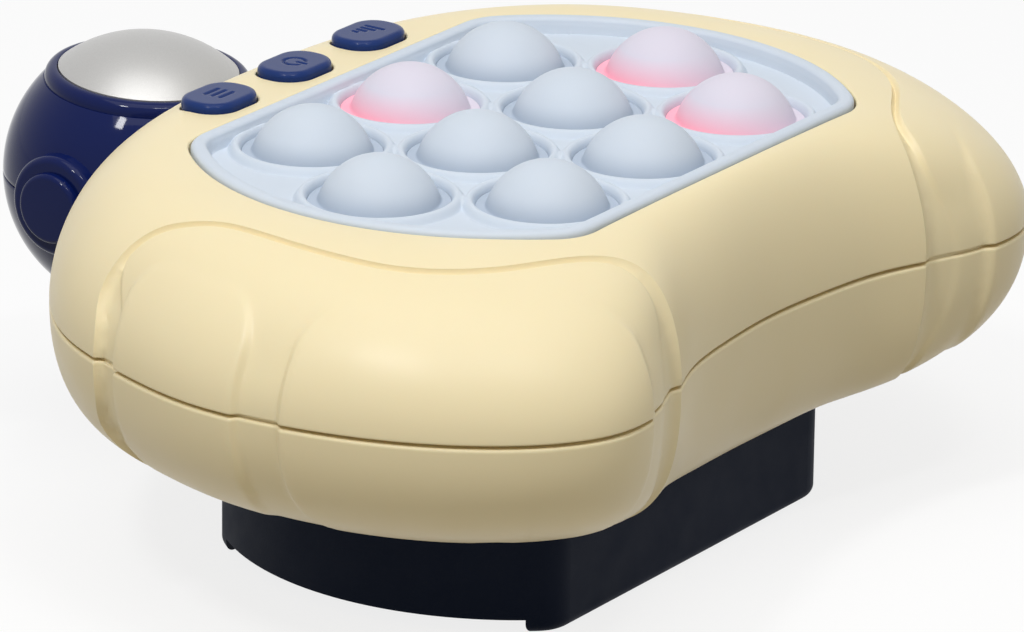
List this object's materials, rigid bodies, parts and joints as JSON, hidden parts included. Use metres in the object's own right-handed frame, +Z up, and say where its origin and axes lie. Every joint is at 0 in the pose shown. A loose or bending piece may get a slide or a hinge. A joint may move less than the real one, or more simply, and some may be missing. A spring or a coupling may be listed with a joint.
{
  "type": "bubble pop game console",
  "caption": "Hand-held electronic game console with a field of domed silicone push bubbles that light up, rounded two-lobed shell, ball helmet end, function keys and battery base.",
  "frame": {"origin": "on the table under the middle of the whole outline (bottom centre of the bounding box)", "axes": "+Z up, away from the table; -X towards the helmet; the two wide lobes lie along Y"},
  "size_m": [0.1306, 0.1436, 0.0602],
  "materials": {
    "cream": "satin moulded, cream",
    "silicone": "matte translucent silicone, pale blue",
    "silicone_lit": "matte translucent silicone, lit from below in pink",
    "white_plastic": "plain white",
    "circuit_board": "green solder mask",
    "black_plastic": "matte black",
    "connector_plastic": "off-white",
    "led": "clear resin over white",
    "navy_gloss": "high gloss navy",
    "navy_satin": "satin navy",
    "navy_base": "satin navy, near black",
    "visor_silver": "pearl silver lacquer, satin",
    "steel": "zinc plated",
    "magnet": "dark nickel",
    "battery_jacket": "plain printed film, grey",
    "lead_insulation": "vinyl insulation"
  },
  "bodies": {
    "console": {"top_shell": "cream", "bottom_shell": "cream", "bubble_panel": "silicone", "panel_frame": "white_plastic", "main_board": "circuit_board", "sound_chip": "black_plastic", "board_components": "black_plastic", "bubble_switches": "black_plastic", "key_switches": "black_plastic", "speaker_cone": "black_plastic", "board_connectors": "connector_plastic", "bubble_leds": "led", "helmet_upper": "navy_gloss", "helmet_lower": "navy_gloss", "visor_bezel": "navy_gloss", "ear_disc_left": "navy_gloss", "ear_disc_right": "navy_gloss", "ear_cap_left": "navy_gloss", "ear_cap_right": "navy_gloss", "base_housing": "navy_base", "visor": "visor_silver", "shell_screws": "steel", "frame_screws": "steel", "board_screws": "steel", "base_screws": "steel", "helmet_screws": "steel", "contact_springs": "steel", "contact_plates": "steel", "speaker_frame": "steel", "speaker_magnet": "magnet", "battery_cell_1": "battery_jacket", "battery_cell_2": "battery_jacket", "battery_cell_3": "battery_jacket", "battery_leads": "lead_insulation", "speaker_leads": "lead_insulation"},
    "bubble_1": {"bubble_1": "silicone"},
    "bubble_2": {"bubble_2": "silicone_lit"},
    "bubble_3": {"bubble_3": "silicone"},
    "bubble_4": {"bubble_4": "silicone"},
    "bubble_5": {"bubble_5": "silicone"},
    "bubble_6": {"bubble_6": "silicone"},
    "bubble_7": {"bubble_7": "silicone_lit"},
    "bubble_8": {"bubble_8": "silicone"},
    "bubble_9": {"bubble_9": "silicone"},
    "bubble_10": {"bubble_10": "silicone_lit"},
    "menu_key": {"menu_key": "navy_satin"},
    "power_key": {"power_key": "navy_satin"},
    "volume_key": {"volume_key": "navy_satin"},
    "battery_door": {"battery_door": "navy_base", "door_screw": "steel"}
  },
  "joints": [
    {"name": "bubble_1_press", "type": "slide", "parent": "console", "child": "bubble_1", "axis": [0, 0, -1], "range_m": [0, 0.003], "stiffness_N_per_m": 600, "springref_m": -0.0005},
    {"name": "bubble_2_press", "type": "slide", "parent": "console", "child": "bubble_2", "axis": [0, 0, -1], "range_m": [0, 0.003], "stiffness_N_per_m": 600, "springref_m": -0.0005},
    {"name": "bubble_3_press", "type": "slide", "parent": "console", "child": "bubble_3", "axis": [0, 0, -1], "range_m": [0, 0.003], "stiffness_N_per_m": 600, "springref_m": -0.0005},
    {"name": "bubble_4_press", "type": "slide", "parent": "console", "child": "bubble_4", "axis": [0, 0, -1], "range_m": [0, 0.003], "stiffness_N_per_m": 600, "springref_m": -0.0005},
    {"name": "bubble_5_press", "type": "slide", "parent": "console", "child": "bubble_5", "axis": [0, 0, -1], "range_m": [0, 0.003], "stiffness_N_per_m": 600, "springref_m": -0.0005},
    {"name": "bubble_6_press", "type": "slide", "parent": "console", "child": "bubble_6", "axis": [0, 0, -1], "range_m": [0, 0.003], "stiffness_N_per_m": 600, "springref_m": -0.0005},
    {"name": "bubble_7_press", "type": "slide", "parent": "console", "child": "bubble_7", "axis": [0, 0, -1], "range_m": [0, 0.003], "stiffness_N_per_m": 600, "springref_m": -0.0005},
    {"name": "bubble_8_press", "type": "slide", "parent": "console", "child": "bubble_8", "axis": [0, 0, -1], "range_m": [0, 0.003], "stiffness_N_per_m": 600, "springref_m": -0.0005},
    {"name": "bubble_9_press", "type": "slide", "parent": "console", "child": "bubble_9", "axis": [0, 0, -1], "range_m": [0, 0.003], "stiffness_N_per_m": 600, "springref_m": -0.0005},
    {"name": "bubble_10_press", "type": "slide", "parent": "console", "child": "bubble_10", "axis": [0, 0, -1], "range_m": [0, 0.003], "stiffness_N_per_m": 600, "springref_m": -0.0005},
    {"name": "menu_key_press", "type": "slide", "parent": "console", "child": "menu_key", "axis": [0, 0, -1], "range_m": [0, 0.0008], "stiffness_N_per_m": 1500, "springref_m": -0.0003},
    {"name": "power_key_press", "type": "slide", "parent": "console", "child": "power_key", "axis": [0, 0, -1], "range_m": [0, 0.0008], "stiffness_N_per_m": 1500, "springref_m": -0.0003},
    {"name": "volume_key_press", "type": "slide", "parent": "console", "child": "volume_key", "axis": [0, 0, -1], "range_m": [0, 0.0008], "stiffness_N_per_m": 1500, "springref_m": -0.0003},
    {"name": "battery_door_lift_off", "type": "slide", "parent": "console", "child": "battery_door", "axis": [0, 0, -1], "range_m": [0, 0.03]}
  ]
}
